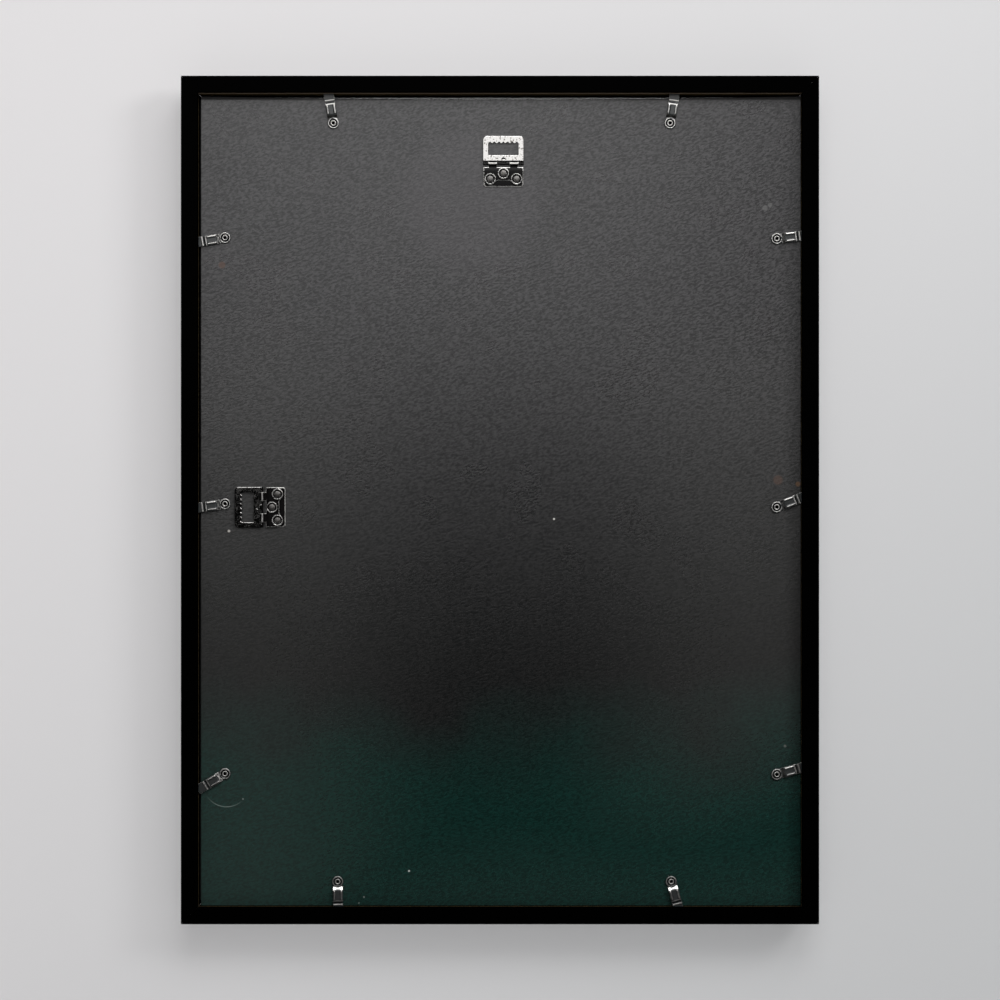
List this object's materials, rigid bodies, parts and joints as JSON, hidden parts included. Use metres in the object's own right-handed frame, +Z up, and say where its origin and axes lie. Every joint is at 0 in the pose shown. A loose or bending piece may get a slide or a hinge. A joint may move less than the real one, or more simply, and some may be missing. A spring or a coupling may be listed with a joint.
{
  "type": "poster frame",
  "caption": "Upright rectangular poster frame: flat mitred rails, clear glazing and a back board held by turn clips, hung on hinged sawtooth hangers.",
  "frame": {"origin": "the point where the wall's nail bears, at the top of the middle notch of the top hanger's sawtooth edge", "axes": "+Z up, +Y out of the back towards the wall, the display side faces -Y; +X is on the left when the frame is seen from the back"},
  "size_m": [0.4836, 0.019, 0.643],
  "materials": {
    "black_foil_mdf": "black foil wrapped over MDF, satin; raw brown MDF inside the rebate",
    "clear_acrylic": "clear polished acrylic sheet",
    "plain_paper": "uncoated off-white paper",
    "black_hardboard": "black coated hardboard with a fine pebbled face",
    "spring_steel": "bright nickel-plated spring steel",
    "nickel_plate": "bright nickel plate over steel",
    "bare_steel": "bare strip steel"
  },
  "bodies": {
    "frame": {"rail_top": "black_foil_mdf", "rail_left": "black_foil_mdf", "rail_bottom": "black_foil_mdf", "rail_right": "black_foil_mdf", "v_nail_top_left": "bare_steel", "v_nail_top_right": "bare_steel", "v_nail_bottom_left": "bare_steel", "v_nail_bottom_right": "bare_steel", "glazing": "clear_acrylic", "insert_sheet": "plain_paper", "backing_board": "black_hardboard", "eyelet_top_left": "nickel_plate", "eyelet_top_right": "nickel_plate", "eyelet_left_upper": "nickel_plate", "eyelet_left_middle": "nickel_plate", "eyelet_left_lower": "nickel_plate", "eyelet_right_upper": "nickel_plate", "eyelet_right_middle": "nickel_plate", "eyelet_right_lower": "nickel_plate", "eyelet_bottom_left": "nickel_plate", "eyelet_bottom_right": "nickel_plate", "hanger_strap_top": "nickel_plate", "rivet_top_upper": "nickel_plate", "rivet_top_lower_left": "nickel_plate", "rivet_top_lower_right": "nickel_plate", "hanger_strap_side": "nickel_plate", "rivet_side_upper": "nickel_plate", "rivet_side_lower_left": "nickel_plate", "rivet_side_lower_right": "nickel_plate"},
    "top_loop": {"hanger_loop_top": "nickel_plate"},
    "side_loop": {"hanger_loop_side": "nickel_plate"},
    "top_left_clip": {"clip_top_left": "spring_steel"},
    "top_right_clip": {"clip_top_right": "spring_steel"},
    "left_upper_clip": {"clip_left_upper": "spring_steel"},
    "left_middle_clip": {"clip_left_middle": "spring_steel"},
    "left_lower_clip": {"clip_left_lower": "spring_steel"},
    "right_upper_clip": {"clip_right_upper": "spring_steel"},
    "right_middle_clip": {"clip_right_middle": "spring_steel"},
    "right_lower_clip": {"clip_right_lower": "spring_steel"},
    "bottom_left_clip": {"clip_bottom_left": "spring_steel"},
    "bottom_right_clip": {"clip_bottom_right": "spring_steel"}
  },
  "joints": [
    {"name": "top_loop_swing", "type": "hinge", "parent": "frame", "child": "top_loop", "pos_m": [0, 0.0008, -0.01628], "axis": [-1, 0, 0], "range_deg": [0, 167]},
    {"name": "side_loop_swing", "type": "hinge", "parent": "frame", "child": "side_loop", "pos_m": [0.1833, 0.0008, -0.27748], "axis": [0, 0, 1], "range_deg": [0, 167]},
    {"name": "top_left_clip_turn", "type": "hinge", "parent": "frame", "child": "top_left_clip", "pos_m": [0.1294, 0, 0.01472], "axis": [0, 1, 0], "continuous": true},
    {"name": "top_right_clip_turn", "type": "hinge", "parent": "frame", "child": "top_right_clip", "pos_m": [-0.1268, 0, 0.01472], "axis": [0, 1, 0], "continuous": true},
    {"name": "left_upper_clip_turn", "type": "hinge", "parent": "frame", "child": "left_upper_clip", "pos_m": [0.2118, 0, -0.07248], "axis": [0, 1, 0], "continuous": true},
    {"name": "left_middle_clip_turn", "type": "hinge", "parent": "frame", "child": "left_middle_clip", "pos_m": [0.2118, 0, -0.27498], "axis": [0, 1, 0], "range_deg": [-103, 87]},
    {"name": "left_lower_clip_turn", "type": "hinge", "parent": "frame", "child": "left_lower_clip", "pos_m": [0.2118, 0, -0.48018], "axis": [0, 1, 0], "continuous": true},
    {"name": "right_upper_clip_turn", "type": "hinge", "parent": "frame", "child": "right_upper_clip", "pos_m": [-0.208, 0, -0.07318], "axis": [0, 1, 0], "continuous": true},
    {"name": "right_middle_clip_turn", "type": "hinge", "parent": "frame", "child": "right_middle_clip", "pos_m": [-0.208, 0, -0.27738], "axis": [0, 1, 0], "continuous": true},
    {"name": "right_lower_clip_turn", "type": "hinge", "parent": "frame", "child": "right_lower_clip", "pos_m": [-0.208, 0, -0.48078], "axis": [0, 1, 0], "continuous": true},
    {"name": "bottom_left_clip_turn", "type": "hinge", "parent": "frame", "child": "bottom_left_clip", "pos_m": [0.1261, 0, -0.56228], "axis": [0, 1, 0], "continuous": true},
    {"name": "bottom_right_clip_turn", "type": "hinge", "parent": "frame", "child": "bottom_right_clip", "pos_m": [-0.1277, 0, -0.56228], "axis": [0, 1, 0], "continuous": true}
  ]
}
